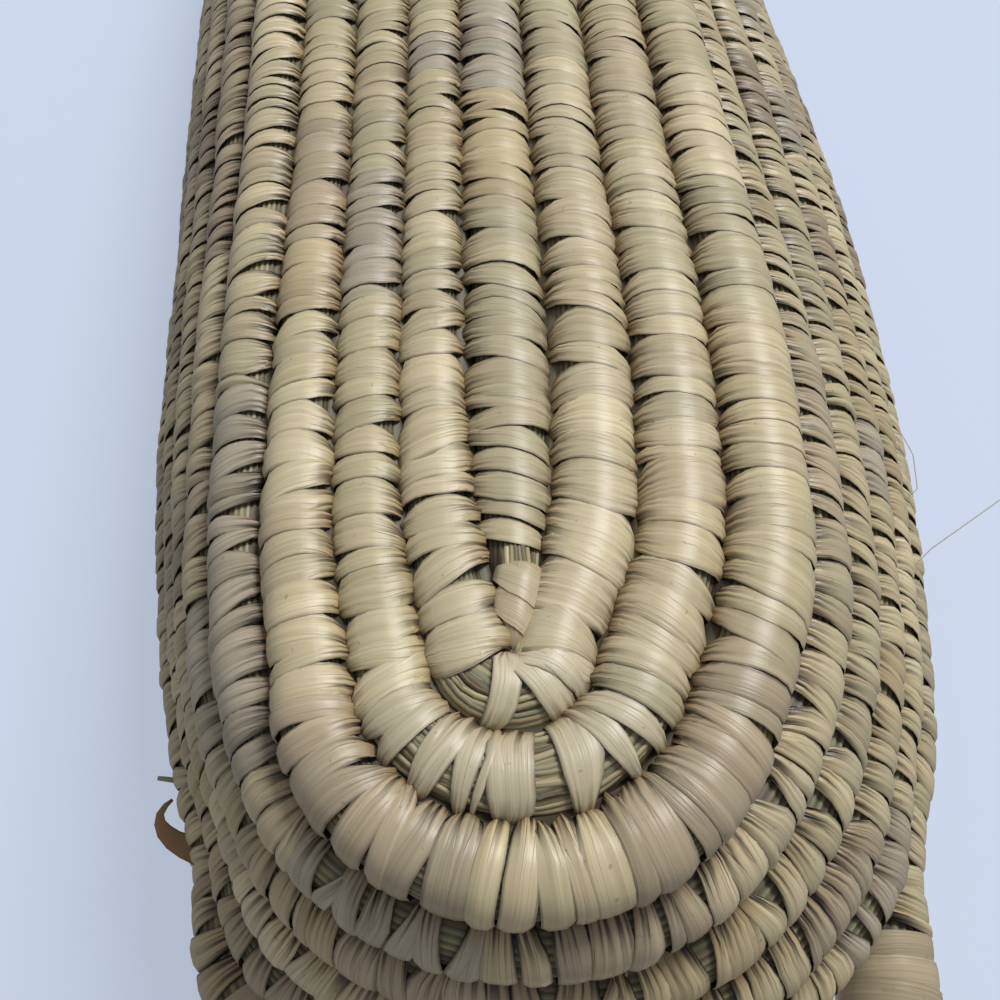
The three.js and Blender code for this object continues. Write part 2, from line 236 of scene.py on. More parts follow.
def smoothstep(x, low, high):
    t = np.clip((x - low) / (high - low), 0, 1)
    return t * t * (3 - 2 * t)


def handle_zone(turn, spans, margin, run):
    """1 well inside the spans of the handles and 0 outside them, a margin further out."""
    insides = [np.minimum(turn - start, stop - turn) + margin for start, stop in spans]
    return smoothstep(np.maximum(*insides), 0, run)


def plain_width(turn):
    """Rows are broader on one side of an end than on the other."""
    u = 2 * np.pi * turn
    uneven = near_uneven * np.cos(u / 2) ** 2 + far_uneven * np.sin(u / 2) ** 2
    return row_pitch * (1 + np.sin(u) * uneven)


def from_start(turn):
    """Millimetres along the middle row from the tip at which the bundle begins."""
    return (turn - bend_share) / (0.5 - 2 * bend_share) * spine_length


def start_taper_at(turn):
    return np.interp(from_start(turn), *start_taper)


def row_width(turn):
    tail = 1 - (1 - tail_tip) * np.clip(1 - (tail_end - turn) / tail_taper, 0, 1)
    plain = plain_width(turn)
    swell = handle_zone(turn, bound_spans, handle_swell, handle_swell)
    return (plain + (handle_thickness + row_gap - plain) * swell) * start_taper_at(turn) * tail


def lean(turn):
    """Angle over level at which a row lies against the row inside it."""
    right = 0.5 + 0.5 * np.sin(2 * np.pi * turn)
    side = (1 - right) * np.interp(turn, *left_lean) + right * np.interp(turn, *right_lean)
    endwise = np.abs(np.cos(2 * np.pi * turn)) ** end_lean_focus
    return np.radians((1 - endwise) * side + endwise * np.interp(turn, *end_lean))


def middle_row(turn):
    """Centre of the straight row in the middle, which thins out to the start."""
    share = from_start(turn) / spine_length
    shift = middle_row_shift[0] + (middle_row_shift[1] - middle_row_shift[0]) * share
    return np.array((spine_length * (0.5 - share), -shift * row_pitch * start_taper_at(turn)))


def first_turn(turn):
    """Centre of the middle row, of the bends at its ends and of the row back along it."""
    if turn < 0.5 - bend_share - 1e-9:
        return middle_row(turn)
    bend = 1 if turn > 0.75 else 0.5
    away = turn - bend
    if abs(away) <= bend_share + 1e-9:
        before = middle_row(bend_share if bend == 1 else 0.5 - bend_share)
        pivot = before[1] + (0 if bend == 1 else row_width(0.5 - bend_share) / 2)
        angle = away / bend_share * np.pi / 2
        end = 1 if bend == 1 else -1
        reach = end * row_width(turn) / 2
        return np.array((before[0] + reach * math.cos(angle), pivot - reach * math.sin(angle)))
    beside = middle_row(1 - turn)
    beside[1] += (row_width(turn) + row_width(1 - turn)) / 2
    return beside


def level(way):
    way = np.array((way[0], way[1], 0.0))
    return way / np.linalg.norm(way)


def wind_coil():
    """Turns and centres of the stations, each row laid against the row inside it."""
    half = bend_steps // 2
    marks = [bend_share * i / half for i in range(half)]
    along_spine = [reached / spine_length for reached in start_taper[0]] + list(spine_marks)
    marks += [bend_share + (0.5 - 2 * bend_share) * share for share in along_spine]
    marks += [0.5 - bend_share + bend_share * i / half for i in range(1, half)]
    marks += [0.5] + [1 - mark for mark in marks[:0:-1]]
    turns, centres, rises = [], [], []
    while True:
        turn = len(turns) // len(marks) + marks[len(turns) % len(marks)]
        if turn > tail_end + spare_turn:
            return np.array(turns), np.array(centres)
        base = (plain_width(turn) - row_gap) / 2 * (1 - under_cut)
        if turn < 1 + bend_share:
            rise = 0
            centre = np.array((*first_turn(turn), base))
        else:
            k = len(turns) - len(marks)
            travel = level(level(centres[k] - centres[k - 1]) + level(centres[k + 1] - centres[k]))
            step = (row_width(turn) + row_width(turn - 1)) / 2
            reach = step * np.cos(lean(turn))
            reach = reach + handle_reach * handle_zone(turn, handle_spans, 0, handle_before)
            rise = rises[k] + step * np.sin(lean(turn))
            centre = centres[k] + np.array((-travel[1], travel[0], 0)) * reach
            centre[2] = base + rise
        turns.append(turn)
        centres.append(centre)
        rises.append(rise)


def smooth_coil(turns, centres):
    """A smooth curve through the stations, as closely spaced points."""
    chords = np.linalg.norm(np.diff(centres, axis=0), axis=1)[:, None]
    slopes = np.diff(centres, axis=0) / chords
    inner = (slopes[1:] * chords[:-1] + slopes[:-1] * chords[1:]) / (chords[1:] + chords[:-1])
    tangents = np.vstack((slopes[:1], inner, slopes[-1:]))
    t = (np.arange(fine_steps) / fine_steps)[None, :, None]
    path = (2 * t ** 3 - 3 * t ** 2 + 1) * centres[:-1, None]
    path = path + (3 * t ** 2 - 2 * t ** 3) * centres[1:, None]
    path = path + (t ** 3 - 2 * t ** 2 + t) * tangents[:-1, None] * chords[:, None]
    path = path + (t ** 3 - t ** 2) * tangents[1:, None] * chords[:, None]
    spaced = turns[:-1, None] + t[:, :, 0] * np.diff(turns)[:, None]
    return spaced.ravel(), path.reshape(-1, 3)


pull_sides = (-20, 40)
pull_heights = (12, 36)
left_pull, left_pull_from, left_pull_back = 4.7, (110, 205), (181, 204)
left_pull_over = 1.2
right_pull, right_pull_from = 5.2, (178, 210)


def pull_aside(points):
    """The upper rows sit a little to the right at the near end."""
    x, y, z = points.T
    left = smoothstep(y, *pull_sides)
    back = 1 - left_pull_over * smoothstep(x, *left_pull_back)
    pull = left * left_pull * smoothstep(x, *left_pull_from) * back
    pull = pull + (1 - left) * right_pull * smoothstep(x, *right_pull_from)
    return points - np.stack((0 * x, pull * smoothstep(z, *pull_heights), 0 * x), axis=1)


coil_turns, coil_points = smooth_coil(*wind_coil())
coil_points = pull_aside(coil_points + centre_shift)
coil_steps = np.linalg.norm(np.diff(coil_points, axis=0), axis=1)
coil_lengths = np.concatenate(((0,), np.cumsum(coil_steps)))
coil_ways = np.gradient(coil_points, axis=0)
coil_outward = np.stack((-coil_ways[:, 1], coil_ways[:, 0], np.zeros(len(coil_ways))), axis=1)
coil_outward /= np.linalg.norm(coil_outward, axis=1)[:, None]
coil_headings = np.unwrap(np.arctan2(coil_outward[:, 1], coil_outward[:, 0]))
coil_bends = np.convolve(np.abs(np.gradient(coil_headings, coil_lengths)), np.ones(5) / 5, "same")


def along(turn):
    """Millimetres along the coil at a turn."""
    return np.interp(turn, coil_turns, coil_lengths)


def turn_at(length):
    return np.interp(length, coil_lengths, coil_turns)


def bend_at(length):
    """How sharply the coil bends, in radians to the millimetre."""
    return np.interp(length, coil_lengths, coil_bends)


def coil_frame(length):
    """Centre and level outward direction of the bundle at lengths along it."""
    centre = np.stack([np.interp(length, coil_lengths, coil_points[:, i]) for i in range(3)], axis=-1)
    outward = np.stack([np.interp(length, coil_lengths, coil_outward[:, i]) for i in range(3)], axis=-1)
    return centre, outward / np.linalg.norm(outward, axis=-1)[..., None]


base_squash = 0.18
squash_turns = (3.4, 4.4)


def squash_base(turn, height):
    """The rows of the base are worn a little flat underneath."""
    flat = 1 - base_squash * (1 - smoothstep(turn, *squash_turns))
    return np.where(height < 0, height * flat, height)


def round_coil(length, angle, radius):
    """Points round the bundle: 0 is outward, a quarter turn is up."""
    centre, outward = coil_frame(length)
    height = squash_base(turn_at(length), radius * np.sin(angle))
    point = centre + outward * (radius * np.cos(angle))[..., None]
    point[..., 2] += height
    return point * MM


def hand_over(name, bm, points, material, nodes):
    """Makes a finished piece of a bmesh whose vertices go to the given points."""
    mesh = bpy.data.meshes.new(name)
    bm.to_mesh(mesh)
    bm.free()
    mesh.vertices.foreach_set("co", points.astype(np.float32).ravel())
    mesh.polygons.foreach_set("use_smooth", np.ones(len(mesh.polygons), bool))
    mesh.materials.append(material)
    mesh.update()
    piece = bpy.data.objects.new(name, mesh)
    bpy.context.scene.collection.objects.link(piece)
    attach(piece, "root")
    if nodes:
        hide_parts(*nodes)
    return piece


def weigh(piece, name, values):
    """Gives each vertex a number that the material reads."""
    layer = piece.data.attributes.new(name, "FLOAT", "POINT")
    layer.data.foreach_set("value", np.asarray(values, np.float32).ravel())


def paint(piece, colors):
    """Gives each vertex the colour of its leaf or stalk."""
    layer = piece.data.attributes.new("tone", "FLOAT_COLOR", "POINT")
    full = np.concatenate((colors, np.ones((len(colors), 1))), axis=1)
    layer.data.foreach_set("color", full.astype(np.float32).ravel())


def spread_uv(piece, scale, shift):
    """Turns the shares in the UV map of each copy into millimetres of leaf or stalk."""
    layer = piece.data.uv_layers["grain"].data
    flat = np.zeros(2 * len(layer), np.float32)
    layer.foreach_get("uv", flat)
    flat = flat.reshape(len(scale), -1, 2) * scale[:, None] + shift[:, None]
    layer.foreach_set("uv", flat.astype(np.float32).ravel())


def many_of(template, count):
    """A bmesh of many copies of a template, one after another."""
    mesh = bpy.data.meshes.new("template")
    template.to_mesh(mesh)
    template.free()
    bm = bmesh.new()
    for _ in range(count):
        bm.from_mesh(mesh)
    shape = np.zeros(3 * len(mesh.vertices), np.float32)
    mesh.vertices.foreach_get("co", shape)
    bpy.data.meshes.remove(mesh)
    return bm, shape.reshape(-1, 3)


def tube_template(sides, rings):
    """A closed tube up the Z axis, a ring at each whole number."""
    bm = bmesh.new()
    bmesh.ops.create_grid(bm, x_segments=rings - 1, y_segments=sides, size=0.5)
    for vert in bm.verts:
        around = vert.co.y * 2 * math.pi
        vert.co = (math.cos(around), math.sin(around), round((vert.co.x + 0.5) * (rings - 1)))
    bmesh.ops.remove_doubles(bm, verts=bm.verts, dist=0.001)
    bmesh.ops.holes_fill(bm, edges=[edge for edge in bm.edges if edge.is_boundary])
    bmesh.ops.recalc_face_normals(bm, faces=bm.faces)
    layer = bm.loops.layers.uv.new("grain")
    for face in bm.faces:
        around = [math.atan2(loop.vert.co.y, loop.vert.co.x) / (2 * math.pi) % 1 for loop in face.loops]
        crosses = max(around) - min(around) > 0.5 and len(around) == 4
        for loop, share in zip(face.loops, around):
            across = share + 1 if crosses and share < 0.5 else share
            loop[layer].uv = (across, loop.vert.co.z / (rings - 1))
    return bm


def lay_tubes(name, paths, radii, tones, nodes, material, sides=8, flat=1.0):
    """Closed tubes along paths in metres. Each point of a path has its radius in millimetres."""
    count, steps = paths.shape[:2]
    bm, shape = many_of(tube_template(sides, steps), count)
    ring = np.round(shape[:, 2]).astype(int)
    way = np.gradient(paths, axis=1)
    way /= np.linalg.norm(way, axis=2)[..., None]
    side = np.cross(way, np.array((0.0, 0.02, 1.0)))
    side /= np.linalg.norm(side, axis=2)[..., None]
    above = np.cross(side, way)
    wide = (np.asarray(radii)[:, ring] * MM)[..., None]
    points = paths[:, ring] + side[:, ring] * wide * shape[None, :, :1]
    points = points + above[:, ring] * wide * flat * shape[None, :, 1:2]
    piece = hand_over(name, bm, points, material, nodes)
    lengths = np.linalg.norm(np.diff(paths, axis=1), axis=2).sum(axis=1) / MM
    girths = 2 * np.pi * np.asarray(radii).mean(axis=1)
    spread_uv(piece, np.stack((girths, lengths), axis=1), rng.uniform(-300, 300, (count, 2)))
    paint(piece, np.repeat(np.asarray(tones, float), len(shape), axis=0))


def plant_material(name, vein_pitch, vein_depth, roughness, blotch):
    """Dry leaf or stalk: veins along it, uneven colour, painted shade in its creases and folds and along
    the edges of wraps, and a satin surface.
    """
    material, start = new_material(name)
    tone = start.node("ShaderNodeAttribute", {"attribute_name": "tone"}, output="Color")
    gather = start.node("ShaderNodeAttribute", {"attribute_name": "gather"}, output="Fac")
    edge = start.node("ShaderNodeAttribute", {"attribute_name": "edge"}, output="Fac")
    uv = start.node("ShaderNodeUVMap", {"uv_map": "grain"})

    def streaks(pitch, stretch, detail):
        """Noise drawn out along the plant: a pitch across it and a stretch along it."""
        share = (1 / pitch, 1 / stretch, 0)
        spot = start.node("ShaderNodeVectorMath", {"operation": "MULTIPLY"}, {0: uv, 1: share})
        sockets = {"Vector": spot, "Scale": 1.0, "Detail": detail}
        return start.node("ShaderNodeTexNoise", {"noise_dimensions": "2D"}, sockets)

    veins = streaks(vein_pitch, 90, 1.0)
    bands = streaks(3.2 * vein_pitch, 60, 1.0)
    folds = streaks(2.4 * vein_pitch, 24, 0.0)
    place = start.node("ShaderNodeTexCoord", output="Object")
    stains = start.node("ShaderNodeTexNoise", sockets={"Vector": place, "Scale": 160.0, "Detail": 4.0})
    ridge = streaks(4.2 * vein_pitch, 38, 0.0) - 0.5
    crease = (1 - ridge.math("ABSOLUTE", ridge).clip(0.0, 0.024)) * stains.clip(0.36, 0.56)
    specks = start.node("ShaderNodeTexNoise", sockets={"Vector": place, "Scale": 900.0, "Detail": 2.0})
    light = 0.64 + 0.32 * veins + 0.3 * bands + blotch * (stains - 0.5)
    # Painted shade: darker along the creases and, where the leaf is gathered, darker in the valleys
    # between its folds.
    light = light - (0.06 + 0.24 * gather) * crease
    light = light - 0.5 * gather * (1 - folds.clip(0.36, 0.52))
    # Painted shade along both edges of each wrap, where it meets its neighbours, patchy with the stains.
    light = light - 0.62 * edge.clip(0.8, 1.0) * stains.clip(0.25, 0.5)
    shade = start.node("ShaderNodeCombineColor", sockets={
        0: light,
        1: light * (0.98 + 0.02 * bands),
        2: light * (0.91 + 0.1 * bands),
    })
    colored = tone.mixed(shade, 1.0, "MULTIPLY")
    speck = specks.clip(0.7, 0.78)
    color = colored.mixed((0.2, 0.15, 0.09, 1), 0.5 * speck)
    height = 0.7 * veins + 0.8 * bands + 4.4 * gather * folds - (0.5 + 1.4 * gather) * crease
    bump = start.node("ShaderNodeBump", sockets={
        "Strength": 1.0,
        "Distance": vein_depth * MM,
        "Height": height,
    })
    skin = start.node("ShaderNodeBsdfPrincipled", sockets={
        "Base Color": color,
        "Roughness": roughness + 0.12 * (veins - 0.5),
        "Specular IOR Level": 0.45,
        "Normal": bump,
    })
    start.node("ShaderNodeOutputMaterial", sockets={"Surface": skin})
    return material


stalk_skin = plant_material("dry_stalk", 0.3, 0.05, 0.5, 0.3)
stalk_tones = np.array((
    (0.42, 0.37, 0.2), (0.36, 0.35, 0.2), (0.3, 0.25, 0.15),
    (0.47, 0.41, 0.23), (0.33, 0.33, 0.22), (0.26, 0.2, 0.13),
))
bundle_sides = 60
bundle_steps = (7.0, 3.4)
step_bends = (0.004, 0.012)
bundle_turns = (0.1, 8.698)
bundle_ridge = 0.3
bundle_wobble = 0.05
bundle_twist = 260
bundle_filling = 2.0
bundle_ease = 0.36
bundle_girth = 30.0
tone_rings = 30
furrow_shade = 0.6
leaf_thickness = 0.22
start_radius, start_narrowing = 4.5, 1.2
start_press = 1.8


def seen_radius(turn):
    """Half the width of a row. The first wraps keep theirs to the end, whatever the tip does."""
    plain = row_width(turn) / 2
    first = start_radius - start_narrowing * (1 - smoothstep(turn, 0.1, 0.105))
    return np.where(turn < 0.13, np.maximum(plain, first), plain)


def bundle_radius(turn):
    return seen_radius(turn) - leaf_thickness - bundle_ease


def start_room(turn, cosine):
    """The second row is pressed in where it passes the thin start."""
    near = smoothstep(turn, 1.02, 1.05) * (1 - smoothstep(turn, 1.085, 1.11))
    return start_press * near * np.clip(cosine, 0, 1) ** 1.5


def wind_bundle():
    """One closed tube with a ridge for each stalk. Its rings lie closer together in the bends."""
    start, stop = along(bundle_turns[0]), along(bundle_turns[1])
    steps = np.interp(coil_bends, step_bends, bundle_steps)
    passed = np.concatenate(((0,), np.cumsum(np.diff(coil_lengths) / steps[1:])))
    first, last = np.interp((start, stop), coil_lengths, passed)
    rings = int(last - first)
    bm, shape = many_of(tube_template(bundle_sides, rings), 1)
    around = np.arctan2(shape[:, 1], shape[:, 0]) / (2 * np.pi)
    side = np.round(around * bundle_sides).astype(int) % bundle_sides
    ring = np.round(shape[:, 2]).astype(int)
    length = np.interp(first + (last - first) * ring / (rings - 1), passed, coil_lengths)
    wobble = rng.normal(0, bundle_wobble, (rings, bundle_sides))[ring, side]
    turn = turn_at(length)
    angle = side / bundle_sides * 2 * np.pi + length / bundle_twist
    from_inner = np.arccos(np.clip(np.cos(angle - np.pi - lean(turn)), -1, 1))
    in_furrow = side % 2
    radius = bundle_radius(turn) - bundle_ridge * in_furrow + wobble
    filled = bundle_filling * (turn > 0.5) * (1 - smoothstep(turn, 7.86, 7.9))
    radius = radius + filled * (1 - smoothstep(from_inner, 0.18, 0.42))
    radius = radius - start_room(turn, np.cos(from_inner))
    points = round_coil(length, angle, radius)
    piece = hand_over("stalk_bundle", bm, points, stalk_skin, ["stalk_core"])
    spread_uv(piece, np.array(((bundle_girth, stop - start),)), np.zeros((1, 2)))
    picks = rng.integers(0, len(stalk_tones), (rings // tone_rings + 2, bundle_sides // 2))
    # Painted shade: the bundle is darker towards its seam with the row inside it and in the furrows
    # between its stalks. It is also darker at its very start.
    light = 0.95 - 0.65 * (1 - smoothstep(from_inner, 0.2, 0.9))
    light = light * (0.3 + 0.7 * smoothstep(turn, 0.104, 0.109)) * (1 - furrow_shade * in_furrow)
    paint(piece, light[:, None] * stalk_tones[picks[ring // tone_rings, side // 2]])


wind_bundle()


def bare_stalks(name, first, last, degrees, sizes, nodes, tones, steps=22):
    """Stalks of the bundle that show where the wraps leave it bare, for instance round a bend."""
    count = len(degrees)
    length = np.linspace(along(first), along(last), steps)[None] + np.zeros((count, 1))
    sizes = np.asarray(sizes)[:, None]
    drift = 0.09 * np.sin(length / rng.uniform(2.5, 5, (count, 1)) + rng.uniform(0, 6, (count, 1)))
    angle = np.radians(np.asarray(degrees))[:, None] + drift
    depth = rng.uniform(-0.45, 0.25, (count, 1))
    depth = depth + 0.12 * np.sin(length / 3 + rng.uniform(0, 6, (count, 1)))
    paths = round_coil(length, angle, bundle_radius(turn_at(length)) + 0.15 - sizes + depth)
    tones = np.asarray(tones)[rng.integers(0, len(tones), count)] * rng.uniform(0.85, 1.15, (count, 1))
    lay_tubes(name, paths, sizes * np.ones((count, steps)), tones, nodes, stalk_skin)


bare_tones = (
    (0.46, 0.39, 0.21), (0.32, 0.29, 0.17), (0.38, 0.33, 0.2), (0.16, 0.115, 0.07),
    (0.52, 0.45, 0.26), (0.35, 0.33, 0.22), (0.22, 0.17, 0.11), (0.42, 0.37, 0.23),
)
bare_count = 24
bare_degrees = np.linspace(-190, 10, bare_count)
first_degrees = bare_degrees + rng.uniform(-4, 4, bare_count)
first_sizes = rng.uniform(0.3, 0.62, bare_count)
bare_stalks("first_bend_stalks", 0.9, 1.09, first_degrees, first_sizes,
            [f"bent_stalk_{i}" for i in range(1, 5)], bare_tones)
second_degrees = bare_degrees + rng.uniform(-3, 3, bare_count)
second_sizes = rng.uniform(0.28, 0.55, bare_count)
bare_stalks("second_bend_stalks", 1.918, 2.085, second_degrees, second_sizes, [], bare_tones, 34)


# Leaf wraps. Strips of split palm leaf, each passed round the bundle once. A strip comes up
# gathered out of the row inside, fans out over the bundle and dives, pointed or rounded, into
# the seam with the row outside it.
ring_sides = 16
outer_marks = (-1, -0.5, 0, 0.5, 1)
inner_marks = (0,)


def wrap_template():
    """A ring round the Z axis: its outer face has radius 2, its inner face radius 1."""
    bm = bmesh.new()
    spots = [(2, mark) for mark in outer_marks] + [(1, mark) for mark in inner_marks]
    profile = bmesh.ops.create_circle(bm, segments=len(spots), radius=1)["verts"]
    for vert, (radius, mark) in zip(profile, spots):
        vert.co = (radius, 0, mark)
    bmesh.ops.spin(
        bm, geom=bm.edges[:], cent=(0, 0, 0), axis=(0, 0, 1), angle=2 * math.pi,
        steps=ring_sides, use_merge=True, use_duplicate=False,
    )
    bmesh.ops.recalc_face_normals(bm, faces=bm.faces)
    for edge in bm.edges:
        edge.smooth = any(abs(vert.co.z) < 0.99 for vert in edge.verts)
    layer = bm.loops.layers.uv.new("grain")
    for face in bm.faces:
        around = [math.atan2(loop.vert.co.y, loop.vert.co.x) / (2 * math.pi) % 1 for loop in face.loops]
        around = [0 if share > 0.9999 else share for share in around]
        crosses = max(around) - min(around) > 0.5
        for loop, share in zip(face.loops, around):
            loop[layer].uv = (loop.vert.co.z, share + 1 if crosses and share < 0.5 else share)
    return bm


leaf_skin = plant_material("palm_leaf", 0.34, 0.055, 0.38, 0.16)
leaf_tones = np.array((
    (0.63, 0.54, 0.348),
    (0.7, 0.605, 0.405),
    (0.53, 0.44, 0.305),
    (0.49, 0.435, 0.335),
    (0.55, 0.48, 0.32),
    (0.6, 0.49, 0.305),
    (0.43, 0.35, 0.245),
))
tone_odds = np.array((0.32, 0.18, 0.15, 0.1, 0.11, 0.1, 0.04))
strand_wraps = (2, 9)

# Long runs that have one colour: the first turn, the last turn and which of the leaf tones.
known_strands = (
    (0.105, 0.157, 4), (0.86, 0.93, 1), (1.0, 1.2, 1), (1.83, 1.855, 3),
    (2.08, 2.2, 1), (2.87, 2.92, 1), (3.03, 3.1, 6), (3.79, 3.86, 1),
)


def strand_colors(spots):
    """Each strand of leaf makes a run of wraps in its own colour."""
    count = len(spots)
    turn = turn_at(spots)
    colors = np.zeros((count, 3))
    done = 0
    while done < count:
        run = int(rng.integers(*strand_wraps))
        tone = leaf_tones[rng.choice(len(leaf_tones), p=tone_odds)]
        colors[done:done + run] = tone * rng.uniform(0.95, 1.05)
        done += run
    for first, last, pick in known_strands:
        known = (turn >= first) & (turn < last)
        colors[known] = 0.35 * colors[known] + 0.65 * leaf_tones[pick]
    return colors * rng.uniform(0.85, 1.08, (count, 1)) * (1 + rng.normal(0, 0.009, (count, 3)))


def boldness(turn):
    """Wraps stand out more on the wall and round the near end, where they fan out."""
    endwise = smoothstep(np.abs(np.cos(2 * np.pi * turn)), 0.8, 0.97) * (turn > 2.3)
    return np.maximum(smoothstep(turn, 3.3, 3.7), endwise)


def each(count, low, high):
    """A random value for each wrap."""
    return rng.uniform(low, high, (count, 1))


# The relief of a wrap in millimetres and radians, and how far wraps differ from one another.
under_focus = 0.3
gather_odds, gather_pull, gather_reach = 0.55, 0.5, 3
row_lead, lead_spread, band_spread, twist_spread = 0.75, 0.55, 0.2, 0.25
end_shift, end_lead = 0.4, 0.25
worn_width, worn_share, worn_turns = 0.7, 0.7, 3.45
overlap_step, height_spread = 0.08, 0.03
band_tilt = 0.2
pleat_in, pleat_out = 0.25, 0.2
lobe, bold_lobe, lobe_width = 0.55, 0.35, 0.55
inner_lobe, inner_lobe_at, inner_lobe_width = 0.4, 0.45, 0.4
middle_swell = 0.6
snug_swell = 1.3
wrap_gap = 0.05
# Each wrap is painted darker and browner towards both seams: partly the leaf's own browner colour there,
# partly painted shade in the seams.
seam_dirt_and_shade, outer_dirt_and_shade = 0.62, 0.5
dirt_and_shade_tint = np.array((0.75, 1.0, 1.25))
# How much of the painted shade along the edges of wraps the plain handle bands get.
band_edge_shade = 0.88


def ring_places(shape):
    """For each vertex of a wrap: its angle from the inner seam, its place across and its face."""
    angle = (np.arctan2(shape[:, 1], shape[:, 0]) + 2 * np.pi) % (2 * np.pi)
    angle = np.where(angle > 2 * np.pi - 0.01, 0, angle)[None]
    angle = angle - under_focus * (1 - np.cos(angle))
    is_outer = (np.hypot(shape[:, 0], shape[:, 1]) > 1.5)[None]
    return angle, shape[:, 2][None], is_outer


def seam_distances(angle, outer_seam):
    """Angles from the seam with the row inside and from the one with the row outside."""
    from_inner = np.minimum(angle, 2 * np.pi - angle)
    from_outer = np.abs(angle - outer_seam)
    return from_inner, np.minimum(from_outer, 2 * np.pi - from_outer)


def outline_wraps(from_inner, from_outer, bold, gather, tip, rounding, plain):
    """How full each strip is towards its seams, and the share of its width that it has there."""
    count = len(bold)
    full = np.clip(from_inner / each(count, 0.9, 1.8), 0, 1)
    blunt = np.clip(from_outer / each(count, 0.7, 1.6), 0, 1)
    rounder = np.maximum(each(count, *rounding), bold)
    blunt = rounder * np.sqrt(1 - (1 - blunt) ** 2) + (1 - rounder) * blunt
    if plain:
        full = np.ones_like(full)
        blunt = np.ones_like(full)
    narrow_in = np.clip(gather * each(count, 0.6, 1.4), 0, 1)
    narrow_out = np.clip(tip * each(count, 0.5, 1.6) * (1 - 0.35 * bold), 0, 1)
    share = (narrow_in + (1 - narrow_in) * full) * (narrow_out + (1 - narrow_out) * blunt)
    return full, blunt, share


def gather_up(spots):
    """Neighbours come out of the inner seam together, each drawn to the middle of its gather."""
    members = np.cumsum(rng.random(len(spots)) < gather_odds)
    members -= members.min()
    middles = np.array([spots[members == group].mean() for group in range(members.max() + 1)])
    return gather_pull * (middles[members] - spots).clip(-gather_reach, gather_reach)


def slant_wraps(spots, half, angle, side, full, blunt, plain):
    """How far along the row a vertex moves: strips lead to one side, twist and gather."""
    count = len(spots)
    lead = row_lead * side + rng.normal(0, lead_spread, (count, 1)) * (band_spread if plain else 1)
    twist = twist_spread * rng.normal(0, 1, (count, 1)) * (not plain)
    sideways = lead * np.cos(angle) + twist * np.sin(angle)
    sideways = sideways + half * (each(count, -end_shift, end_shift) - end_lead * side) * (1 - blunt)
    return sideways + gather_up(spots)[:, None] * (1 - full) * (not plain)


def arch_wraps(crown, angle, mark, turn, bold, side, outer_seam):
    """Height of each strip, arched, flatter where the base is worn and lapped over the next."""
    count = len(turn)
    near_middle = np.exp(-((angle - outer_seam / 2) / worn_width) ** 2)
    away = 1 - near_middle * each(count, 0, worn_share) * (turn < worn_turns)
    height = crown * (1 + 0.8 * bold) * (1 - mark ** 4) * each(count, 0.4, 1.5) * (0.25 + 0.75 * away)
    over = np.tanh(6 * side) * (0.7 + 0.3 * np.abs(side))
    height = height - overlap_step * over * mark * each(count, 0.4, 1.7) * away
    return height + each(count, -height_spread, height_spread)


def pucker_wraps(height, mark, turn, bold, full, blunt, from_inner, from_outer, past_outer):
    """Adds pleats at both seams and the lobes into which a strip swells beside them."""
    count = len(turn)
    pleat = np.cos(2 * np.pi * mark) * (np.abs(mark) < 0.9)
    height = height + pleat_in * (1 - full) * pleat * each(count, -0.6, 1.6)
    height = height + pleat_out * (1 - blunt) * pleat * each(count, -1.6, 0.6)
    seen = 1 - smoothstep(past_outer, 0.1, 0.5)
    outer = (lobe + bold_lobe * bold) * each(count, 0.4, 1.6) * seen
    height = height + outer * (1 - mark ** 2) * np.exp(-(from_outer / lobe_width) ** 2)
    beside_inner = np.exp(-((from_inner - inner_lobe_at) / inner_lobe_width) ** 2)
    height = height + inner_lobe * (1 - mark ** 2) * beside_inner * each(count, 0.2, 1.6)
    return height + middle_swell * (1 - smoothstep(from_inner, 0.3, 1.1)) * (turn < 0.5)


def crumple(from_inner, from_outer, bold):
    """How much the leaf is gathered, which deepens its folds in the material, both in bump and in painted
    shade.
    """
    inner = 1.8 * (1 - smoothstep(from_inner, 0.15, 1.35))
    loose = inner + 1.2 * (1 - smoothstep(from_outer, 0.1, 1.0))
    return np.clip(loose, 0, 1.5) + 0.06 + 0.35 * bold * (1 - smoothstep(from_inner, 0.9, 2.2))


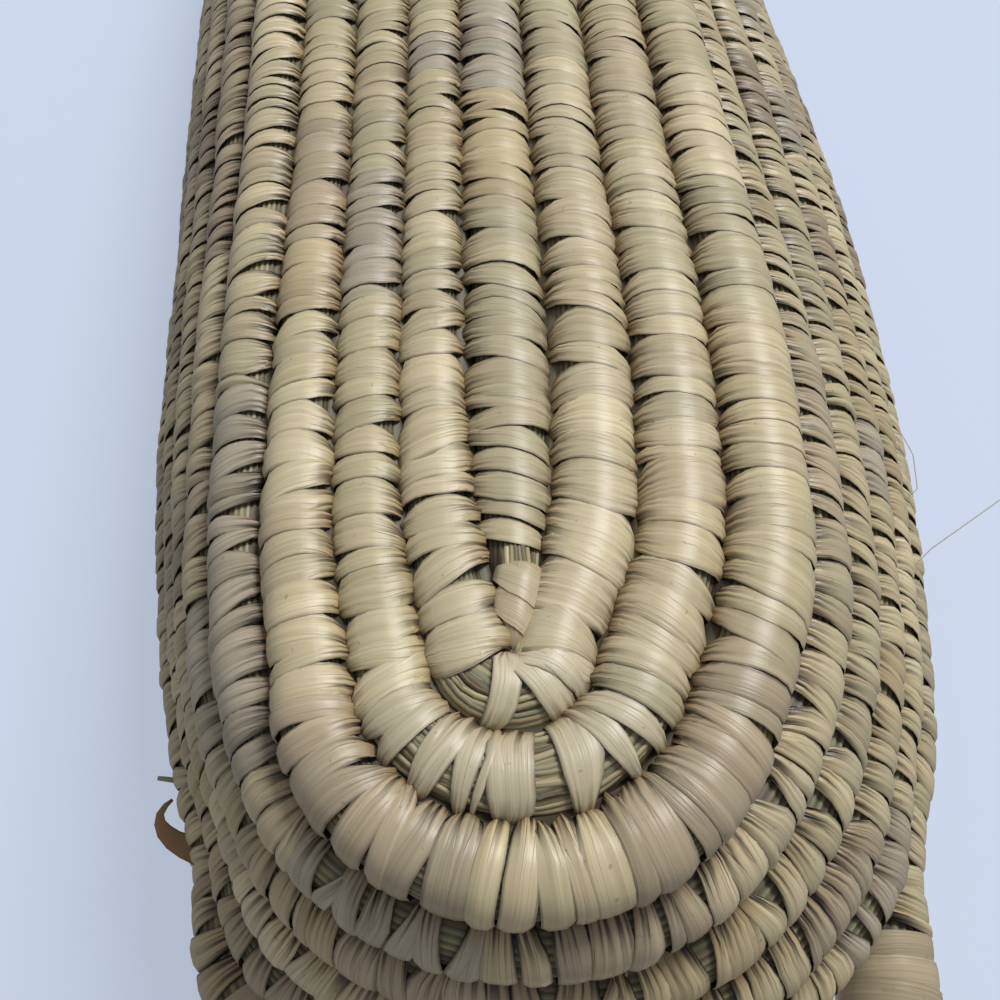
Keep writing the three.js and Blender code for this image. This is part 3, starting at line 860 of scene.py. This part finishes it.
def wrap_leaves(name, spots, widths, nodes, colors=None, gather=0.6, tip=0.55, crown=0.21,
                lift=0.0, plain=False, rounding=(0, 0.8)):
    """Wraps with their middles at lengths along the coil. Widths are in millimetres."""
    count = len(spots)
    bm, shape = many_of(wrap_template(), count)
    angle, mark, is_outer = ring_places(shape)
    turn = turn_at(spots)[:, None]
    bold = boldness(turn)
    inner_lean = lean(turn)
    outer_seam = np.pi + lean(turn + 1) - inner_lean
    from_inner, from_outer = seam_distances(angle, outer_seam)
    full, blunt, share = outline_wraps(from_inner, from_outer, bold, gather, tip, rounding, plain)
    half = widths[:, None] / 2
    side = np.sin(2 * np.pi * turn)
    sideways = slant_wraps(spots, half, angle, side, full, blunt, plain)
    round_bundle = np.pi + inner_lean + angle
    stretch = 1 + bend_at(spots)[:, None] * row_width(turn) / 2 * np.cos(round_bundle)
    length = spots[:, None] + half * mark * share / np.clip(stretch, 0.45, 3) + sideways
    height = arch_wraps(crown, angle, mark, turn, bold, side, outer_seam)
    if plain:
        height = crown * (1 - mark ** 4) + band_tilt * mark * each(count, 0.5, 1.4)
    else:
        height = pucker_wraps(height, mark, turn, bold, full, blunt, from_inner, from_outer,
                              angle - outer_seam)
    height = np.where(is_outer, height, height - leaf_thickness)
    beside_start = smoothstep(turn, 0.872, 0.895) * (turn < 0.95)
    snug = snug_swell * beside_start * np.clip(np.cos(angle), 0, 1) ** 2
    radius = seen_radius(turn) + wrap_gap + lift + height + snug - start_room(turn, np.cos(angle))
    piece = hand_over(name, bm, round_coil(length, round_bundle, radius), leaf_skin, nodes)
    scale = np.stack((widths / 2, np.full(count, 2 * np.pi * radius.mean())), axis=1)
    spread_uv(piece, scale, rng.uniform(-400, 400, (count, 2)))
    tones = strand_colors(spots) if colors is None else np.asarray(colors)
    # Darker and browner towards both seams: the leaf's own browner colour there and painted shade in the
    # seams.
    dirt_and_shade = seam_dirt_and_shade * (1 - smoothstep(from_inner, 0.0, 1.15))
    dirt_and_shade = dirt_and_shade + outer_dirt_and_shade * (1 - smoothstep(from_outer, 0, 0.8))
    paint(piece, (tones[:, None] * (1 - dirt_and_shade[..., None] * dirt_and_shade_tint * (not plain))).reshape(-1, 3))
    weigh(piece, "gather", crumple(from_inner, from_outer, bold) * (not plain))
    # The edge value drives painted shade along both edges of each wrap in the material.
    weigh(piece, "edge", np.tile(np.abs(mark) * is_outer * (band_edge_shade if plain else 1), (count, 1)))


wrap_overlap = (1.06, 1.36)
wall_narrowing = 0.14


def space_wraps(first, last, pitch, uneven=0.25):
    """Middles and widths of wraps that fill a stretch between two turns, broader in the bends."""
    start, stop = along(first), along(last)
    steps = []
    reached = start
    while reached < stop:
        wanted = pitch(turn_at(reached)) if callable(pitch) else pitch
        steps.append(wanted * float(np.clip(rng.normal(1, uneven), 0.55, 1.6)))
        reached += steps[-1]
    steps = np.array(steps) * (stop - start) / sum(steps)
    edges = start + np.cumsum(steps)
    spots = edges - steps / 2
    turn = turn_at(spots)
    fan = np.where(turn > 2.3, 0.9, 0.45 * (turn > 1.02))
    wider = 1 + fan * bend_at(spots) * row_width(turn) / 2
    wider = wider * (1 - wall_narrowing * boldness(turn))
    return spots, steps * wider * rng.uniform(*wrap_overlap, len(steps))


# Millimetres of row to each wrap, at turns along the coil.
base_pitch = (
    (0.1, 3.4), (0.2, 3.7), (0.5, 3.7), (0.8, 3.7), (0.89, 4.6), (0.92, 5.0), (0.99, 2.7),
    (1.04, 2.9), (1.08, 5.0), (1.2, 3.9), (1.8, 3.9), (1.9, 4.2), (1.93, 4.4), (2.07, 4.4),
    (2.11, 4.6), (2.2, 3.9), (2.8, 3.8), (2.9, 4.0), (2.96, 3.1), (3.0, 3.0), (3.06, 3.1),
    (3.09, 3.4), (3.2, 3.8), (3.9, 3.9), (4.0, 3.4), (4.1, 3.8), (4.2, 3.7), (9, 3.7),
)


def leaf_pitch(turn):
    return np.interp(turn, *zip(*base_pitch))


row_stretches = (
    ("middle_row_wraps", 0.1055, 0.5, ["middle_row_binding"], "leaf_tan"),
    ("base_row_1_wraps_left", 0.5, 0.942, ["base_row_1_binding_left"], "leaf_pale"),
    ("base_row_1_wraps_right", 1.088, 1.5, ["base_row_1_binding_right"], "leaf_pale"),
    ("base_row_2_wraps_left", 1.5, 1.938, ["base_row_2_binding_left"], "leaf_tan"),
    ("base_row_2_wraps_right", 2.066, 2.5, ["base_row_2_binding_right"], "leaf_tan"),
    ("base_row_3_wraps", 2.5, 3.5, ["base_row_3_binding"], "leaf_pale"),
    ("wall_row_1_wraps", 3.5, 4.5, ["wall_row_1_binding"], "leaf_tan"),
    ("wall_row_2_wraps", 4.5, 5.5, ["wall_row_2_binding"], "leaf_pale"),
    ("wall_row_3_wraps", 5.5, 6.5, ["wall_row_3_binding"], "leaf_tan"),
    ("wall_row_4_wraps", 6.5, 7.5, ["wall_row_4_binding"], "leaf_pale"),
    ("rim_left_wraps", 7.5, bound_spans[0][0], ["rim_left_binding"], "leaf_pale"),
    ("rim_right_wraps", bound_spans[0][1], bound_spans[1][0], ["rim_right_binding"], "leaf_tan"),
    ("rim_tail_wraps", bound_spans[1][1], 8.7, ["rim_tail_binding"], "leaf_pale"),
)
for name, first, last, nodes, slot in row_stretches:
    spots, widths = space_wraps(first, last, leaf_pitch)
    wrap_leaves(name, spots, widths, nodes)


# Bands round the first two bends. Here the wraps stand apart and the stalks show between them.
first_turns = np.array((1.002, 1.043, 1.068, 1.082))
first_widths = np.array((3.7, 4.4, 4.2, 4.2))
wrap_leaves("base_row_1_bands", along(first_turns), first_widths, [],
            colors=[(0.68, 0.6, 0.43)] * len(first_turns),
            gather=1.0, tip=0.6, crown=0.25, rounding=(0, 0.3))
second_turns = np.array((1.943, 1.9555, 1.966, 1.9765, 1.986, 1.9945, 2.006, 2.034, 2.0465, 2.0585))
second_widths = np.array((4.2, 3.0, 1.6, 3.0, 3.0, 1.2, 5.6, 5.4, 3.2, 3.3))
wrap_leaves("base_row_2_bands", along(second_turns), second_widths,
            [f"base_row_2_band_{i}" for i in range(1, 6)],
            colors=[(0.62, 0.545, 0.39)] * len(second_turns),
            gather=0.85, tip=0.3, crown=0.3, lift=0.05, rounding=(0, 0.4))


# Start. The bundle begins as a thin tip in the groove between the first row and the next. Its
# cut stalks show under the last wrap, and a strip of leaf twists round it and ends in a point.
tip_from = np.array((164.2, 1.3, 2.9))
tip_to = np.array((176.3, 3.2, 3.0))


def round_tip(distance, angle, radius):
    """Points round the tip: 0 is the right side and a quarter turn is the underside."""
    way = (tip_to - tip_from) / np.linalg.norm(tip_to - tip_from)
    across = np.cross(way, (0, 0, 1))
    point = tip_from + way * distance[..., None] + across * (radius * np.cos(angle))[..., None]
    return (point + np.array((0, 0, -1)) * (radius * np.sin(angle))[..., None]) * MM


tip_shape = (
    (-1, -0.6, 0, 1.5, 3, 5, 7, 8.5, 9.6, 10.6, 11.5, 11.8),
    (1.5, 2.6, 2.85, 2.9, 2.9, 2.8, 2.65, 2.35, 2.0, 1.6, 1.1, 0.5),
)
tip_tone = np.array((0.52, 0.41, 0.26))


def bind_tip():
    """The strip of leaf round the tip, deeper on the side of the groove and dark at its point."""
    bm, shape = many_of(tube_template(18, len(tip_shape[0])), 1)
    ring = np.round(shape[:, 2]).astype(int)
    distance = np.array(tip_shape[0])[ring]
    radius = np.array(tip_shape[1])[ring]
    around = np.arctan2(shape[:, 1], shape[:, 0])
    radius = radius * (1 + 0.9 * np.clip(-np.sin(around), 0, 1))
    radius = radius + 0.08 * np.sin(3 * around + distance / 2)
    points = round_tip(distance, around, radius)
    piece = hand_over("start_tip", bm, points, leaf_skin, ["start_binding"])
    spread_uv(piece, np.array(((16.0, 16.0),)), np.zeros((1, 2)))
    shade = np.interp(distance, (7, 9, 11, 11.6), (1, 1, 0.6, 0.15))[:, None]
    paint(piece, shade * tip_tone)


tie_places = np.array(((2.1, 5.4), (6.0, 5.6)))
tie_tones = np.array(((0.54, 0.455, 0.31), (0.56, 0.46, 0.31)))


def tie_tip():
    """Two bands round the tip, given as the distance along it and the width."""
    middle, wide = tie_places.T[:, :, None]
    bm, shape = many_of(wrap_template(), len(tie_places))
    angle = np.arctan2(shape[:, 1], shape[:, 0])[None]
    mark = shape[:, 2][None]
    is_outer = np.hypot(shape[:, 0], shape[:, 1]) > 1.5
    share = np.interp(np.abs(angle), (0, 2.1, 3.0), (1, 0.95, 0.2))
    distance = middle + wide / 2 * mark * share + 1.3 * np.cos(angle)
    radius = np.interp(distance, *tip_shape) + 0.06 + 0.08 * (1 - mark ** 2) + 0.12 * (1 + mark)
    radius = radius + 0.6 * np.exp(-((angle - 2.7) / 0.4) ** 2)
    radius = np.where(is_outer, radius, radius - 0.25)
    piece = hand_over("start_ties", bm, round_tip(distance, angle, radius), leaf_skin,
                      ["start_tie_1", "start_tie_2"])
    scale = np.stack((wide[:, 0] / 2, np.full(len(wide), 17.0)), axis=1)
    spread_uv(piece, scale, rng.uniform(-99, 99, (2, 2)))
    paint(piece, np.repeat(tie_tones, len(shape), axis=0))


fray_count, fray_steps = 15, 6
fray_from, fray_to = 159.8, (164.8, 166.5)


def fray_start():
    """Cut stalks side by side under the last wrap, which spread a little towards their ends."""
    count = fray_count
    outset = 3.9 - 4.9 * np.linspace(0, 1, count)[:, None] + each(count, -0.15, 0.15)
    end = each(count, *fray_to)
    t = np.linspace(0, 1, fray_steps)[None]
    x = fray_from * (1 - t) + end * t
    wave = 0.15 * np.sin(3 * t + each(count, 0, 6))
    y = outset + (0.25 - 0.12 * outset) * (x - 158.5) / 6 + wave
    hollow = np.where(outset < 1.6, 0.3, 0.14) * (outset - 1.6) ** 2
    z = 1.9 + hollow - 0.16 * (x - 158) + each(count, -0.2, 0.2)
    tones = np.array(bare_tones)[rng.integers(0, len(bare_tones), count)] * each(count, 0.9, 1.25)
    radii = each(count, 0.28, 0.46) * np.ones((1, fray_steps))
    lay_tubes("start_stalks", np.stack((x, y, z), axis=2) * MM, radii, tones,
              ["stray_stalk_1", "stray_stalk_2", "stray_stalk_3"], stalk_skin)


bind_tip()
tie_tip()
fray_start()


# Loose ends. A curled brown end of leaf and a straw stick out of the left wall, and three thin
# fibres out of the right wall.
curl = np.array((
    (187.4, 48.7, 42), (186.2, 51.2, 42.5), (185.0, 53.4, 43), (183.7, 54.9, 43),
    (182.3, 55.8, 43.2), (180.9, 56.0, 43.5), (179.6, 55.4, 43.7), (178.7, 54.5, 43.8),
))
curl_radii = np.array((1.9, 1.8, 1.5, 1.2, 0.85, 0.6, 0.45, 0.25))
lay_tubes("loose_leaf_end", curl[None] * MM, curl_radii[None], ((0.3, 0.17, 0.08),),
          ["loose_leaf_end"], leaf_skin, flat=0.2)
straw = np.array(((178, 50, 40.8), (176.8, 53, 41), (176.4, 55, 41.1), (176.2, 56.3, 41.1)))
straw_radii = np.array((0.45, 0.45, 0.4, 0.35))
lay_tubes("loose_straw", straw[None] * MM, straw_radii[None], ((0.3, 0.29, 0.2),),
          ["loose_straw"], stalk_skin)
fibres = np.array((
    ((112, -68, 45), (113.5, -73.8, 45), (118.5, -74.8, 45), (126, -73.7, 45), (131, -68, 45)),
    ((148, -62, 45), (143.7, -67, 45), (138.6, -73, 45), (133.5, -81, 45), (129, -88, 45)),
    ((190, -57, 49), (184, -55.5, 48), (178, -54.5, 47), (173, -53, 45.8), (170, -50.5, 44)),
))
lay_tubes("loose_fibres", fibres * MM, np.full((3, 5), 0.1), ((0.5, 0.46, 0.36),) * 3,
          [], stalk_skin, sides=5)


# Handles. Where the rim's row leaves the wall at each end it is bound thicker, with broad
# smooth bands that each lap over the next.
handle_pitch = 3.7
handle_tone = np.array((0.47, 0.39, 0.265))
for name, span in zip(("near_handle", "far_handle"), bound_spans):
    spots, widths = space_wraps(*span, handle_pitch, 0.12)
    tones = handle_tone * each(len(spots), 0.85, 1.12)
    wrap_leaves(f"{name}_wraps", spots, widths * 0.97, [f"{name}_binding"],
                colors=tones, crown=0.16, plain=True)
